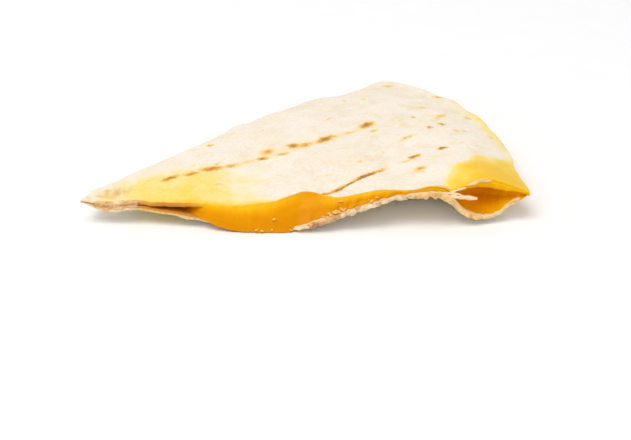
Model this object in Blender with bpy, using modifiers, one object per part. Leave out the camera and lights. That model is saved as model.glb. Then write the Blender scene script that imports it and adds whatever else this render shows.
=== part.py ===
"""A wedge of quesadilla: a flour tortilla folded in half over melted cheese, toasted and cut.

The wedge is a sector of the folded tortilla. Its tip is where the cut meets the middle of the
fold. From there the cut edge runs along +X, where the cheese shows between the two layers, the
fold runs along the far side, and the tortilla's own round rim joins their ends.

Frame: metres, +Z up, the origin on the surface that the wedge rests on, under the middle of its box.
"""

import bmesh
import bpy
import numpy as np

MM = 0.001

# Outline, seen from above
APEX = np.array([-66.4, -41.6]) * MM  # where the lines of the cut and the fold meet
FOLD_ANGLE = np.radians(48.2)  # between the cut and the fold
FOLD_ANGLE_AT_RIM = np.radians(46.2)
FOLD_TURN = np.array([98.0, 112.0]) * MM  # radii between which the fold bends inward
RIM_RADIUS = 130.0 * MM
RIM_SWELL = 3.4 * MM  # how far the rim stands out beyond its radius, near the fold
RIM_DIP = 1.8 * MM  # how far it draws in, near the cut
CORNER_ROUNDING = 6.5 * MM  # taken off the corner between the fold and the rim
TIP_RADIUS_AT_CUT = 3.2 * MM
TIP_RADIUS_AT_FOLD = 7.4 * MM
TIP_BELLY = 0.9 * MM  # how far the blunt tip stands out between them

# The tortilla
SHEET = 1.2 * MM  # thickness of one layer
LEAST_GAP = 0.3 * MM  # between the layers where there is no cheese
FOLD_ROUNDNESS = 0.9  # radius of the fold, as a share of half the distance between the layers

# Stations from the tip to the rim, for what changes along the wedge
STATIONS = np.array([3.0, 19.0, 34.0, 48.0, 66.0, 94.0, 117.0, 130.0]) * MM
TOP_AT_CUT = np.array([6.0, 7.0, 7.1, 6.9, 9.2, 10.6, 12.6, 8.2]) * MM  # the upper layer's outer face
TOP_AT_FOLD = np.array([6.6, 7.9, 8.9, 9.5, 10.4, 9.8, 8.2, 7.4]) * MM
UPPER_EDGE_OUT = np.array([1.0, 1.5, 3.0, 3.9, 2.8, 1.0, -1.5, -1.8]) * MM  # edges, out from the cut's line
LOWER_EDGE_OUT = np.array([1.0, 1.5, 3.6, 5.2, 6.8, 2.4, 1.6, -1.4]) * MM
CHEESE_OUT = np.array([-6.0, -5.0, 1.0, 7.2, 8.4, -4.0, -4.0, -4.0]) * MM
CROWN = 0.9 * MM  # how far the middle stands above the line from the cut to the fold

# How the under side leaves the surface that the wedge rests on. Each span gives two radii.
TIP_LIFT = 3.6 * MM
TIP_LIFT_FADES = np.array([24.0, 56.0]) * MM
TIP_DROOP = 0.8 * MM  # how far the very end of the tip hangs again
TIP_DROOP_FADES = np.array([3.0, 14.0]) * MM
ARCH_RISE = 7.7 * MM  # the lower layer's cut edge rises to an arch
ARCH_SPAN = np.array([60.0, 96.0]) * MM
SCOOP_DROP = 6.3 * MM  # then sags like a spoon near the rim
SCOOP_SPAN = np.array([106.5, 115.5]) * MM
CORNER_RISE = 4.0 * MM  # and comes up again at its corner
CORNER_SPAN = np.array([120.5, 129.0]) * MM
CUT_DEPTH = 22.0 * MM  # how far in from the cut the arch, scoop and corner have faded
RIM_LIFT = 1.8 * MM
RIM_LIFT_WIDTH = 12.0 * MM
FOLD_LIFT = 0.8 * MM
FOLD_LIFT_WIDTH = 9.0 * MM

# The cheese
CHEESE_CLEARANCE = 0.5 * MM  # to either layer
CHEESE_HALF_LEAST = 0.2 * MM  # half its thickness where the layers all but meet
CHEESE_ENDS = np.array([0.17, 0.97])  # shares of the way from the tip to the rim
CHEESE_BACK = 0.045  # share of the way across at which it stops short of the fold
CHEESE_BACK_ROUNDING = 0.16  # share of the way across over which its back edge is rounded
CHEESE_NOSE_ROUNDING = 2.0 * MM

# Mesh
CELLS_ALONG = 36
CELLS_ACROSS = 44
FOLD_GATHER = 1.5  # power that gathers the cells towards the fold
CHEESE_CELLS_ALONG = 36
CHEESE_CELLS_ACROSS = 18
CHEESE_CELLS_ROUND_NOSE = 6


def smooth_step(value, start, end):
    """0 up to start, 1 from end on, and an S-shaped cubic between them."""
    share = np.clip((value - start) / (end - start), 0.0, 1.0)
    return share * share * (3.0 - 2.0 * share)


def bump(value, middle, half_width):
    """1 at the middle, falling smoothly to 0 at half_width to either side."""
    share = np.clip(np.abs(value - middle) / half_width, 0.0, 1.0)
    return (1.0 - share**2) ** 2


def along(radius, values):
    """The values given at the stations, joined by cubics that share their slopes there."""
    slope = np.gradient(values, STATIONS)
    index = np.clip(np.searchsorted(STATIONS, radius) - 1, 0, len(STATIONS) - 2)
    length = STATIONS[index + 1] - STATIONS[index]
    share = np.clip((radius - STATIONS[index]) / length, 0.0, 1.0)
    first = (1.0 + 2.0 * share) * (1.0 - share) ** 2
    leaving = share * (1.0 - share) ** 2 * length * slope[index]
    arriving = share**2 * (share - 1.0) * length * slope[index + 1]
    return first * values[index] + (1.0 - first) * values[index + 1] + leaving + arriving


def fold_angle(radius):
    """Angle of the fold from the cut, which is a little less towards the rim."""
    turn = smooth_step(radius, *FOLD_TURN)
    return FOLD_ANGLE + (FOLD_ANGLE_AT_RIM - FOLD_ANGLE) * turn


def radius_at(share, across):
    """Distance from the apex, from the blunt tip (share 0) to the uneven rim (share 1)."""
    tip = TIP_RADIUS_AT_FOLD + (TIP_RADIUS_AT_CUT - TIP_RADIUS_AT_FOLD) * across
    tip = tip - TIP_BELLY * 4.0 * across * (1.0 - across)
    rim = RIM_RADIUS + RIM_SWELL * bump(across, 0.28, 0.5) - RIM_DIP * bump(across, 0.86, 0.2)
    rim = rim - CORNER_ROUNDING * (1.0 - smooth_step(across, -0.06, 0.12))
    return tip + (rim - tip) * share


def under_side(radius, angle):
    """Height of the lower layer's outer face. It is flat on the ground in the middle of the wedge."""
    from_cut = radius * angle
    from_fold = radius * (fold_angle(radius) - angle)
    tip = TIP_LIFT * (1.0 - smooth_step(radius, *TIP_LIFT_FADES))
    tip = tip - TIP_DROOP * (1.0 - smooth_step(radius, *TIP_DROOP_FADES))
    cut = ARCH_RISE * smooth_step(radius, *ARCH_SPAN)
    cut = cut - SCOOP_DROP * smooth_step(radius, *SCOOP_SPAN)
    cut = cut + CORNER_RISE * smooth_step(radius, *CORNER_SPAN)
    cut = cut * (1.0 - smooth_step(from_cut, 0.0, CUT_DEPTH))
    rim = RIM_LIFT * smooth_step(radius, RIM_RADIUS - RIM_LIFT_WIDTH, RIM_RADIUS)
    rim = rim * smooth_step(from_cut, 0.0, CUT_DEPTH)
    fold = FOLD_LIFT * (1.0 - smooth_step(from_fold, 0.0, FOLD_LIFT_WIDTH))
    return tip + cut + rim + fold


def upper_side(radius, angle):
    """Height of the upper layer's outer face, never nearer the under side than two layers."""
    across = np.clip(1.0 - angle / fold_angle(radius), 0.0, 1.0)
    height = along(radius, TOP_AT_FOLD) * (1.0 - across) + along(radius, TOP_AT_CUT) * across
    height = height + CROWN * 4.0 * across * (1.0 - across)
    return np.maximum(height, under_side(radius, angle) + 2.0 * SHEET + LEAST_GAP)


def angle_at(radius, across, edge_out):
    """Angle at a share of the way across, from the fold (0) to an edge beyond the cut's line (1)."""
    return fold_angle(radius) * (1.0 - across) - edge_out / radius * across


def seen_from_above(radius, angle):
    """X and Y of a point given by its distance and angle from the apex."""
    return APEX[0] + radius * np.cos(angle), APEX[1] + radius * np.sin(angle)


def folded_sheet(share, turn):
    """Middle of the tortilla's thickness, at a share of the way from the tip to the rim. turn runs from
    the lower layer's edge (-1) round the fold (0) to the upper layer's (1). Across the wedge the
    sheet follows a hyperbola, so the fold is round and the layers level out on either side."""
    fold_radius = radius_at(share, 0.0)
    angle = fold_angle(fold_radius)
    half_gap = 0.5 * (upper_side(fold_radius, angle) - under_side(fold_radius, angle) - SHEET)
    roundness = half_gap / (FOLD_ROUNDNESS * fold_radius * angle)
    reach = np.sqrt(turn**2 + roundness**2)
    full_reach = np.sqrt(1.0 + roundness**2)
    across = (reach - roundness) / (full_reach - roundness)
    side = turn / reach * full_reach
    radius = radius_at(share, across)
    edge_out = np.where(turn > 0.0, along(radius, UPPER_EDGE_OUT), along(radius, LOWER_EDGE_OUT))
    angle = angle_at(radius, across, edge_out)
    x, y = seen_from_above(radius, angle)
    top = upper_side(radius, angle) - 0.5 * SHEET
    bottom = under_side(radius, angle) + 0.5 * SHEET
    return x, y, 0.5 * (top + bottom) + 0.5 * (top - bottom) * side


def cheese_skin(share, lap):
    """Outer face of the filling, at a share of its length. lap runs once round a section: 0 to 1 under
    the upper layer from the fold to the cut, 1 to 2 round the nose that shows at the cut, and 2 to
    3 back over the lower layer."""
    share = CHEESE_ENDS[0] + (CHEESE_ENDS[1] - CHEESE_ENDS[0]) * share
    half_circle = np.pi * np.clip(lap - 1.0, 0.0, 1.0)
    across = np.clip(np.minimum(lap, 3.0 - lap), 0.0, 1.0)
    back_share = np.clip(across / CHEESE_BACK_ROUNDING, 0.0, 1.0)
    across = CHEESE_BACK + (1.0 - CHEESE_BACK) * across
    radius = radius_at(share, across)
    nose_out = along(radius, CHEESE_OUT)
    nose_start = np.minimum(nose_out, along(radius, UPPER_EDGE_OUT)) - CHEESE_NOSE_ROUNDING
    angle = angle_at(radius, across, nose_start)
    x, y = seen_from_above(radius, angle)
    y = y - (nose_out - nose_start) * np.sin(half_circle)
    top = upper_side(radius, angle) - SHEET - CHEESE_CLEARANCE
    bottom = under_side(radius, angle) + SHEET + CHEESE_CLEARANCE
    half = np.maximum(0.5 * (top - bottom), CHEESE_HALF_LEAST)
    side = np.cos(half_circle) * np.sqrt(1.0 - (1.0 - back_share) ** 2)
    return x, y, 0.5 * (top + bottom) + half * side


def new_object(name, mesh, colour, roughness):
    """An object in the quesadilla's collection, with its own material."""
    material = bpy.data.materials.new(name)
    material.use_nodes = True
    shader = material.node_tree.nodes["Principled BSDF"]
    shader.inputs["Base Color"].default_value = (*colour, 1.0)
    shader.inputs["Roughness"].default_value = roughness
    shader.inputs["Metallic"].default_value = 0.0
    mesh.materials.append(material)
    mesh.shade_smooth()
    made = bpy.data.objects.new(name, mesh)
    collection.objects.link(made)
    return made


def make_tortilla():
    """The folded tortilla: a flat grid carried to the folded shape, and thickened to both sides."""
    form = bmesh.new()
    bmesh.ops.create_grid(form, x_segments=CELLS_ALONG, y_segments=CELLS_ACROSS, size=1.0)
    flat = np.array([vertex.co[:2] for vertex in form.verts])
    turn = np.sign(flat[:, 1]) * np.abs(flat[:, 1]) ** FOLD_GATHER
    folded = np.stack(folded_sheet(0.5 * (flat[:, 0] + 1.0), turn), axis=1)
    for vertex, point in zip(form.verts, folded):
        vertex.co = point
    mesh = bpy.data.meshes.new("tortilla")
    form.to_mesh(mesh)
    form.free()
    tortilla = new_object("tortilla", mesh, (0.87, 0.76, 0.56), 0.7)
    thicken = tortilla.modifiers.new("thickness", "SOLIDIFY")
    thicken.thickness = SHEET
    thicken.offset = 0.0


def make_cheese():
    """The melted filling: closed sections lofted from its end near the tip to its end near the rim."""
    across = np.linspace(0.0, 1.0, CHEESE_CELLS_ACROSS, endpoint=False)
    nose = np.linspace(1.0, 2.0, CHEESE_CELLS_ROUND_NOSE + 1)
    lap = np.concatenate([across, nose, 3.0 - across[:0:-1]])
    form = bmesh.new()
    sections = []
    for share in np.linspace(0.0, 1.0, CHEESE_CELLS_ALONG + 1):
        skin = np.stack(cheese_skin(share, lap), axis=1)
        sections.append([form.verts.new(point) for point in skin])
    for section, following in zip(sections, sections[1:]):
        for index in range(len(lap)):
            corners = (section[index - 1], section[index], following[index], following[index - 1])
            form.faces.new(corners)
    form.faces.new(sections[0])
    form.faces.new(sections[-1])
    bmesh.ops.recalc_face_normals(form, faces=form.faces)
    mesh = bpy.data.meshes.new("cheese")
    form.to_mesh(mesh)
    form.free()
    new_object("cheese", mesh, (0.84, 0.35, 0.01), 0.35)


for old in list(bpy.data.objects):
    bpy.data.objects.remove(old)
collection = bpy.data.collections.new("quesadilla")
bpy.context.scene.collection.children.link(collection)
make_tortilla()
make_cheese()
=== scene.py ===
# %% [markdown]
# # A wedge of quesadilla
# A flour tortilla is strewn with grated cheese on one half, folded shut, and toasted on hot bars
# until the cheese melts. Cut from the middle of the fold out to the rim, it falls into wedges. This
# one lies with its tip to the left, its cut side towards us and its fold behind.
#
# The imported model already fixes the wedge's place, size and outline. It is loaded first, and all
# that follows is built around it. Lengths below are in millimetres, until a mesh is made.

import bpy
import numpy as np
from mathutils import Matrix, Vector


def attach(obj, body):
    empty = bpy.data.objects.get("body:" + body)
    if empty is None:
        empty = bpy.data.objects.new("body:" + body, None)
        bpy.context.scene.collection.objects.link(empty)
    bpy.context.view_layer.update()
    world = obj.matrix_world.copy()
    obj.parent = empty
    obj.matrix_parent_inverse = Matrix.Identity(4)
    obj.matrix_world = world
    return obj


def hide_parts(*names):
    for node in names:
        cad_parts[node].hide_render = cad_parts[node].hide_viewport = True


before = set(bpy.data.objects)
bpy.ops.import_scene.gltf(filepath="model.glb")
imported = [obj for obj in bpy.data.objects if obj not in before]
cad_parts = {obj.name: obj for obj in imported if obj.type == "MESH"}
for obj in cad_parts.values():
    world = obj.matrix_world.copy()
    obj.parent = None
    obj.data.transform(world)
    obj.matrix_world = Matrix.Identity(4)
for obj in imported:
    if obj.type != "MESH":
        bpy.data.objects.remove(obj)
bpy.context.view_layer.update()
print("packed nodes:", sorted(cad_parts))

# %% [markdown]
# ## Helpers
# Three small tools carry the lesson. Uneven food needs smooth chance, so `waves` sums plane cosine
# waves of many directions: it can be worked out anywhere, has no grid and no seams, and comes out
# the same on every run. `smooth_step` and `bump` switch a detail on and off along a length.

# %% Smooth steps, bumps and waves
MM = 0.001


def smooth_step(value, start, end):
    """0 up to start, 1 from end on, and the cubic 3s^2 - 2s^3 of the share s between them."""
    share = np.clip((value - start) / (end - start), 0.0, 1.0)
    return share * share * (3.0 - 2.0 * share)


def bump(value, middle, half_width):
    """1 at the middle, (1 - s^2)^2 at the share s of half_width to either side, and 0 beyond."""
    share = np.clip(np.abs(value - middle) / half_width, 0.0, 1.0)
    return (1.0 - share**2) ** 2


def waves(length, seed, *places, count=22):
    """Uneven relief, mostly between -1 and 1: the sum of plane cosine waves whose directions and phases
    are drawn at random, and whose lengths are 0.7 to 1.5 times the one given. The places are one, two
    or three coordinates, so it can lie along a line, on a sheet or through a solid."""
    draw = np.random.default_rng(seed)
    heading = draw.normal(size=(count, len(places)))
    heading /= np.linalg.norm(heading, axis=1, keepdims=True)
    pitch = 2.0 * np.pi / (length * draw.uniform(0.7, 1.5, count))
    phase = draw.uniform(0.0, 2.0 * np.pi, count)
    total = 0.0
    for way, one_pitch, one_phase in zip(heading, pitch, phase):
        distance = sum(part * place for part, place in zip(way, places))
        total = total + np.cos(one_pitch * distance + one_phase)
    return 0.5 * np.sqrt(2.0 / count) * total


print("a 10 mm relief reaches", round(float(np.abs(waves(10.0, 1, np.arange(500.0))).max()), 2))

# %% [markdown]
# Meshes are filled from arrays in one go. A grid of points becomes quads by slicing: each quad joins
# a point to its neighbours along the first and the second parameter. A grid may close on itself
# along the second one, as a tube does.

# %% Grids of points to meshes
def quads(index, closed=False):
    """Corner indices of the quads of an index grid. closed joins its last column to its first."""
    if closed:
        index = np.concatenate([index, index[:, :1]], axis=1)
    corners = [index[:-1, :-1], index[:-1, 1:], index[1:, 1:], index[1:, :-1]]
    return np.stack(corners, axis=-1).reshape(-1, 4)


def partner_of(count, fold_at=0):
    """For each point of a ring, the number of the one facing it across the ring."""
    return (2 * fold_at - np.arange(count)) % count


def zipped(rings, fold_at=0):
    """Points and quads of a closed skin. The rings are joined all round, and each end is zipped shut:
    every point of the end ring moves to its mid-line and is shared with the one facing it."""
    partner = partner_of(rings.shape[1], fold_at)
    points = rings.copy()
    index = np.arange(points[..., 0].size).reshape(points.shape[:2])
    for end in (0, -1):
        points[end] = 0.5 * (points[end] + points[end][partner])
        index[end] = np.minimum(index[end], index[end][partner])
    return points.reshape(-1, 3), quads(index, closed=True)


def make_piece(name, points, faces, node, material, attributes=None):
    """A smooth-shaded object from points in millimetres and lists of quads, riding on the wedge. It has
    no turn and no scale of its own. The triple products a . (b x c) of a closed skin's triangles add
    up to six times its volume, so a negative sum says that the faces point inwards and are flipped."""
    mesh = bpy.data.meshes.new(name)
    used = np.unique(np.concatenate([np.ravel(group) for group in faces]))
    number = np.zeros(len(points), int)
    number[used] = np.arange(len(used))
    points = points[used]
    corners = [number[np.asarray(group)] for group in faces]
    mesh.from_pydata((points * MM).tolist(), [], [face for group in corners for face in group.tolist()])
    for attribute_name, values in (attributes or {}).items():
        kind, field = ("FLOAT_VECTOR", "vector") if values.ndim == 2 else ("FLOAT", "value")
        attribute = mesh.attributes.new(attribute_name, kind, "POINT")
        attribute.data.foreach_set(field, values[used].astype(np.float32).ravel())
    triangles = np.concatenate([group[:, half] for group in corners for half in ([0, 1, 2], [0, 2, 3])])
    a, b, c = (points[triangles[:, k]] for k in range(3))
    if np.einsum("ij,ij->", a, np.cross(b, c)) < 0.0:
        mesh.flip_normals()
    mesh.shade_smooth()
    mesh.materials.append(material)
    piece = bpy.data.objects.new(name, mesh)
    bpy.context.scene.collection.objects.link(piece)
    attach(piece, "root")
    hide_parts(node)
    print(f"{name}: {len(triangles)} triangles")
    return piece


# %% [markdown]
# ## Colours and nodes
# Colours are written as the sRGB hex values that a colour picker shows. Cycles works in linear
# light, so one function converts them. Another adds a shader node, sets it, links it and hands on its
# output, so that a pattern can be written down like a sum, each node taking the ones before.

# %% Colour and node helpers
def linear(hex_colour):
    """The linear RGBA of an sRGB hex colour."""
    srgb = np.array([int(hex_colour[k : k + 2], 16) for k in (1, 3, 5)]) / 255.0
    rgb = np.where(srgb <= 0.04045, srgb / 12.92, ((srgb + 0.055) / 1.055) ** 2.4)
    return (*rgb.tolist(), 1.0)


def set_inputs(tree, node, inputs):
    """Fills a node's inputs, given in the order of its sockets in use, or by their names. An output is
    linked, a hex colour is made linear, and any other value is set on the socket itself."""
    in_use = [socket for socket in node.inputs if socket.enabled]
    for key, value in inputs.items() if isinstance(inputs, dict) else enumerate(inputs):
        socket = node.inputs[key] if isinstance(key, str) else in_use[key]
        if isinstance(value, bpy.types.NodeSocket):
            tree.links.new(value, socket)
        else:
            socket.default_value = linear(value) if isinstance(value, str) else value


def add_node(tree, kind, inputs=(), output=None, stops=(), **settings):
    """Adds a node with its settings and links, and gives the output named, or else its first in use. A
    colour ramp's stops are (place, hex colour) pairs."""
    node = tree.nodes.new("ShaderNode" + kind)
    for name, value in settings.items():
        setattr(node, name, value)
    for _ in stops[2:]:
        node.color_ramp.elements.new(0.5)
    for number, (place, hex_colour) in enumerate(stops):
        node.color_ramp.elements[number].position = place
        node.color_ramp.elements[number].color = linear(hex_colour)
    set_inputs(tree, node, inputs)
    return node.outputs[output] if output else next(socket for socket in node.outputs if socket.enabled)


def new_material(name):
    """An opaque material, its node tree and its shader."""
    material = bpy.data.materials.new(name)
    material.use_nodes = True
    return material, material.node_tree, material.node_tree.nodes["Principled BSDF"]


def unevened(tree, level, grain, strength):
    """A level made uneven by a grain between 0 and 1: strength times (grain - 0.5) is added to it."""
    around = add_node(tree, "Math", [grain, 0.5], operation="SUBTRACT")
    return add_node(tree, "Math", [around, strength, level], operation="MULTIPLY_ADD")


TIMES = {"operation": "MULTIPLY"}
SMOOTH = {"interpolation_type": "SMOOTHSTEP"}
COLOURS = {"data_type": "RGBA"}
print("half grey in linear light:", round(linear("#808080")[0], 3))

# %% [markdown]
# ## The shape of the folded tortilla
# Seen from above the wedge is a sector: distance from the apex, where the cut's line and the fold's
# meet, and angle from the cut. Its heights change slowly from the tip to the rim, so they are given
# at a few stations and joined by cubics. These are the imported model's own sizes, so the fine
# surface lies in the same place.

# %% Outline and heights
APEX = np.array([-66.4, -41.6])
FOLD_ANGLE = np.radians(48.2)
FOLD_ANGLE_AT_RIM = np.radians(46.2)
RIM_RADIUS = 130.0
STATIONS = np.array([3.0, 19.0, 34.0, 48.0, 66.0, 94.0, 117.0, 130.0])
TOP_AT_CUT = np.array([6.0, 7.0, 7.1, 6.9, 9.2, 10.6, 12.6, 8.2])
TOP_AT_FOLD = np.array([6.6, 7.9, 8.9, 9.5, 10.4, 9.8, 8.2, 7.4])
UPPER_EDGE_OUT = np.array([1.0, 1.5, 3.0, 3.9, 2.8, 1.0, -1.5, -1.8])
LOWER_EDGE_OUT = np.array([1.0, 1.5, 3.6, 5.2, 6.8, 2.4, 1.6, -1.4])
CROWN = 0.9
LEAST_GAP = 0.3
ARCH = np.array([
    (56.0, 0.0), (63.0, 0.2), (71.0, 1.8), (77.5, 4.1), (84.0, 6.1), (90.0, 7.6), (97.0, 8.2),
    (104.5, 8.1), (107.5, 6.7), (110.0, 4.0), (113.0, 2.4), (117.0, 1.7), (120.5, 2.4), (124.0, 4.6),
    (127.0, 6.2), (130.0, 6.2),
])
EDGE_TOP = np.array([
    (3.0, 6.1), (19.0, 7.0), (34.0, 7.1), (48.0, 6.8), (57.0, 7.9), (66.0, 8.8), (75.0, 8.6), (82.0, 9.7),
    (89.0, 10.7), (97.0, 10.2), (107.5, 9.8), (112.5, 11.4), (117.0, 12.7), (123.5, 11.0), (130.0, 8.0),
])


def along(radius, values, stations=STATIONS):
    """The values given at the stations, joined by cubics that share their slopes there."""
    slope = np.gradient(values, stations)
    index = np.clip(np.searchsorted(stations, radius) - 1, 0, len(stations) - 2)
    length = stations[index + 1] - stations[index]
    share = np.clip((radius - stations[index]) / length, 0.0, 1.0)
    first = (1.0 + 2.0 * share) * (1.0 - share) ** 2
    leaving = share * (1.0 - share) ** 2 * length * slope[index]
    arriving = share**2 * (share - 1.0) * length * slope[index + 1]
    return first * values[index] + (1.0 - first) * values[index + 1] + leaving + arriving


def fold_angle(radius):
    """Angle of the fold from the cut, which is a little less towards the rim."""
    return FOLD_ANGLE + (FOLD_ANGLE_AT_RIM - FOLD_ANGLE) * smooth_step(radius, 98.0, 112.0)


def ends_at(across):
    """Distances from the apex of the blunt tip and of the uneven rim, at a share of the way from the
    fold (0) to the cut (1)."""
    tip = 7.4 - 5.0 * across - 0.9 * 4.0 * across * (1.0 - across)
    rim = RIM_RADIUS + 3.4 * bump(across, 0.28, 0.5) - 2.0 * bump(across, 0.87, 0.13)
    rim = rim - 6.5 * (1.0 - smooth_step(across, -0.06, 0.12))
    return tip, rim


def under_side(radius, angle):
    """Height of the lower layer's outer face: flat on the table in the middle, lifted and pinched at
    the tip, and along the cut raised to an arch, sagging like a spoon near the rim and up again at
    the corner. Each of these is a height times a smooth step or a bump."""
    from_cut = radius * angle
    from_fold = radius * (fold_angle(radius) - angle)
    tip = 3.6 * (1.0 - smooth_step(radius, 24.0, 56.0)) + 2.3 * (1.0 - smooth_step(radius, 2.0, 10.5))
    tip = tip + 0.7 * bump(radius, 18.0, 7.0) * (1.0 - smooth_step(from_cut, 0.0, 8.0))
    cut = along(radius, ARCH[:, 1], ARCH[:, 0]) * (1.0 - smooth_step(from_cut, 0.0, 22.0))
    rim = (1.8 + 0.8 * waves(17.0, 19, from_cut)) * smooth_step(radius, RIM_RADIUS - 12.0, RIM_RADIUS)
    rim = rim * smooth_step(from_cut, 0.0, 22.0)
    fold = 0.8 * (1.0 - smooth_step(from_fold, 0.0, 9.0))
    return tip + cut + rim + fold


def upper_side(radius, angle):
    """Height of the upper layer's outer face: a straight line from the height along the fold to that
    along the cut, plus a crown, shallow waves at the rim and, near the cut, the edge's own ups and
    downs."""
    across = np.clip(1.0 - angle / fold_angle(radius), 0.0, 1.0)
    height = along(radius, TOP_AT_FOLD) * (1.0 - across) + along(radius, TOP_AT_CUT) * across
    height = height + CROWN * 4.0 * across * (1.0 - across)
    height = height + 0.45 * waves(15.0, 20, radius * angle) * smooth_step(radius, 114.0, 130.0)
    detail = along(radius, EDGE_TOP[:, 1], EDGE_TOP[:, 0]) - along(radius, TOP_AT_CUT)
    return height + detail * (1.0 - smooth_step(radius * angle, 0.0, 12.0))


print("highest point along the cut:", TOP_AT_CUT.max(), "mm")

# %% [markdown]
# The tortilla is one sheet. Its mid-surface is a grid: columns run from the tip to the rim, rows from
# the lower layer's cut edge round the fold to the upper layer's. Across the wedge the rows follow a
# hyperbola, which is round at the fold and levels out on both sides.
#
# A sheet needs thickness and real cut faces, so near each border a few rows crowd together and the
# thickness swells from nothing as a quarter circle does. Both faces share their border points, so
# the skin is closed. The thickness differs from place to place: the toasted upper edge is thin, the
# torn lower one is swollen.

# %% The sheet's grid
EDGE_ROUND = 0.3
EDGE_STEPS = 6
COLUMNS = 226
UPPER_ROWS = 100
LOWER_ROWS = 64
MIDDLE_THICK = 1.3
UPPER_EDGE_THICK = np.array([1.7, 1.5, 1.2, 0.9, 1.0, 0.6, 1.3, 1.0])
LOWER_THICK_AT = np.array([3.0, 19.0, 30.0, 50.0, 62.0, 72.0, 82.0, 94.0, 106.0, 112.0, 130.0])
LOWER_EDGE_THICK = np.array([1.6, 1.5, 1.0, 1.0, 1.2, 2.1, 1.7, 1.4, 1.8, 1.3, 0.9])
NOTCH_AT, NOTCH_HALF, NOTCH_DEPTH = 66.5, 9.5, 4.2
fold_row = EDGE_STEPS + LOWER_ROWS

quarter = np.linspace(0.0, 0.5 * np.pi, EDGE_STEPS, endpoint=False)
border_gap = EDGE_ROUND * (1.0 - np.cos(quarter))
border_full = np.sin(quarter)


def border(inner_count):
    """Along one parameter with inner_count inner lines: distances added from the start, shares of the
    stretch between the borders, and the fullness of the thickness."""
    level = np.full(inner_count, EDGE_ROUND)
    added = np.concatenate([border_gap, level, 2.0 * EDGE_ROUND - border_gap[::-1]])
    share = np.concatenate([np.zeros(EDGE_STEPS), np.linspace(0.0, 1.0, inner_count), np.ones(EDGE_STEPS)])
    full = np.concatenate([border_full, np.ones(inner_count), border_full[::-1]])
    return added, share, full


column_added, column_share, column_full = border(COLUMNS)
lower_turn = -np.linspace(1.0, 0.0, LOWER_ROWS, endpoint=False) ** 1.3
upper_turn = np.linspace(0.0, 1.0, UPPER_ROWS) ** 1.25
row_turn = np.concatenate([np.full(EDGE_STEPS, -1.0), lower_turn, upper_turn, np.full(EDGE_STEPS, 1.0)])
row_gap = np.concatenate([border_gap, np.full(LOWER_ROWS + UPPER_ROWS, EDGE_ROUND), border_gap[::-1]])
row_full = np.concatenate([border_full, np.ones(LOWER_ROWS + UPPER_ROWS), border_full[::-1]])
print("grid:", len(column_share), "by", len(row_turn))


# %% The mid-surface
def sheet_grid():
    """Mid-surface, fullness and places on the sheet. Each row's distance from the cut edge is a fixed
    gap near the border plus a share of the rest of the width; the angle follows from it."""
    turn, gap = row_turn[None, :], row_gap[None, :]
    added, share = column_added[:, None], column_share[:, None]
    tip, rim = ends_at(0.0)
    fold_radius = tip + added + (rim - tip - 2.0 * EDGE_ROUND) * share
    angle = fold_angle(fold_radius)
    half_gap = 0.5 * (upper_side(fold_radius, angle) - under_side(fold_radius, angle) - 1.2)
    half_gap = np.maximum(half_gap, 0.3)
    roundness = half_gap / (0.9 * fold_radius * angle)
    reach = np.sqrt(turn**2 + roundness**2)
    full_reach = np.sqrt(1.0 + roundness**2)
    across = (reach - roundness) / (full_reach - roundness)
    side = turn / reach * full_reach
    tip, rim = ends_at(across)
    rim = rim + 0.35 * waves(9.0, 3, across * 90.0, 20.0 * side)
    rim = rim - 2.6 * bump(across, 1.0, 0.16) * (turn < 0.0)
    radius = tip + added + (rim - tip - 2.0 * EDGE_ROUND) * share
    width = radius * fold_angle(radius)
    from_cut = gap + (width - EDGE_ROUND) * (1.0 - across)
    upper = turn > 0.0
    notch = NOTCH_DEPTH * bump(radius, NOTCH_AT, NOTCH_HALF)
    edge_out = np.where(upper, along(radius, UPPER_EDGE_OUT) - notch, along(radius, LOWER_EDGE_OUT))
    ragged = smooth_step(radius, 58.0, 72.0)
    jag = np.where(upper, 0.18, 0.15 + 0.5 * ragged) * waves(2.6, 5, radius, 9.0 * side)
    near_edge = 1.0 - smooth_step(from_cut, 0.0, 2.5)
    across = 1.0 - from_cut / width
    angle = fold_angle(radius) * (1.0 - across) - (edge_out * across + jag * near_edge) / radius
    at_edge = 1.0 - smooth_step(from_cut, 0.0, 7.0)
    upper_thick = MIDDLE_THICK + (along(radius, UPPER_EDGE_THICK) - MIDDLE_THICK) * at_edge
    lower_thick = MIDDLE_THICK + (along(radius, LOWER_EDGE_THICK, LOWER_THICK_AT) - MIDDLE_THICK) * at_edge
    pinch = 0.22 + 0.78 * smooth_step(radius, 2.0, 11.0)
    upper_thick, lower_thick = upper_thick * pinch, lower_thick * pinch
    thick = np.where(upper, upper_thick, lower_thick)
    floor_level = under_side(radius, angle)
    bottom = floor_level + 0.5 * thick
    lowest_top = floor_level + upper_thick + lower_thick + LEAST_GAP * pinch
    top = np.maximum(upper_side(radius, angle), lowest_top) - 0.5 * thick
    x = APEX[0] + radius * np.cos(angle)
    y = APEX[1] + radius * np.sin(angle)
    z = 0.5 * (top + bottom) + 0.5 * (top - bottom) * side
    points = np.stack([x, y, z], axis=-1)
    full = column_full[:, None] * row_full[None, :]
    return points, 0.5 * thick * full, full, radius, angle, side, from_cut, rim - radius


middle, half_thick, fullness, radius, angle, side, from_cut, from_rim = sheet_grid()
print("sheet spans", np.round(np.ptp(middle.reshape(-1, 3), axis=0), 1), "mm")

# %% [markdown]
# ## Relief
# Each spot of the sheet also has a place on the flat tortilla, unfolded about the fold's line. Relief
# and browning are laid out there, so a pattern runs on round the fold instead of being cut by it.
# The faces get long swells, shallow blisters a centimetre wide and a fine floury unevenness. One
# crease, where the upper layer bent over the edge of the bite, is a narrow groove beside a low ridge.

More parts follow.
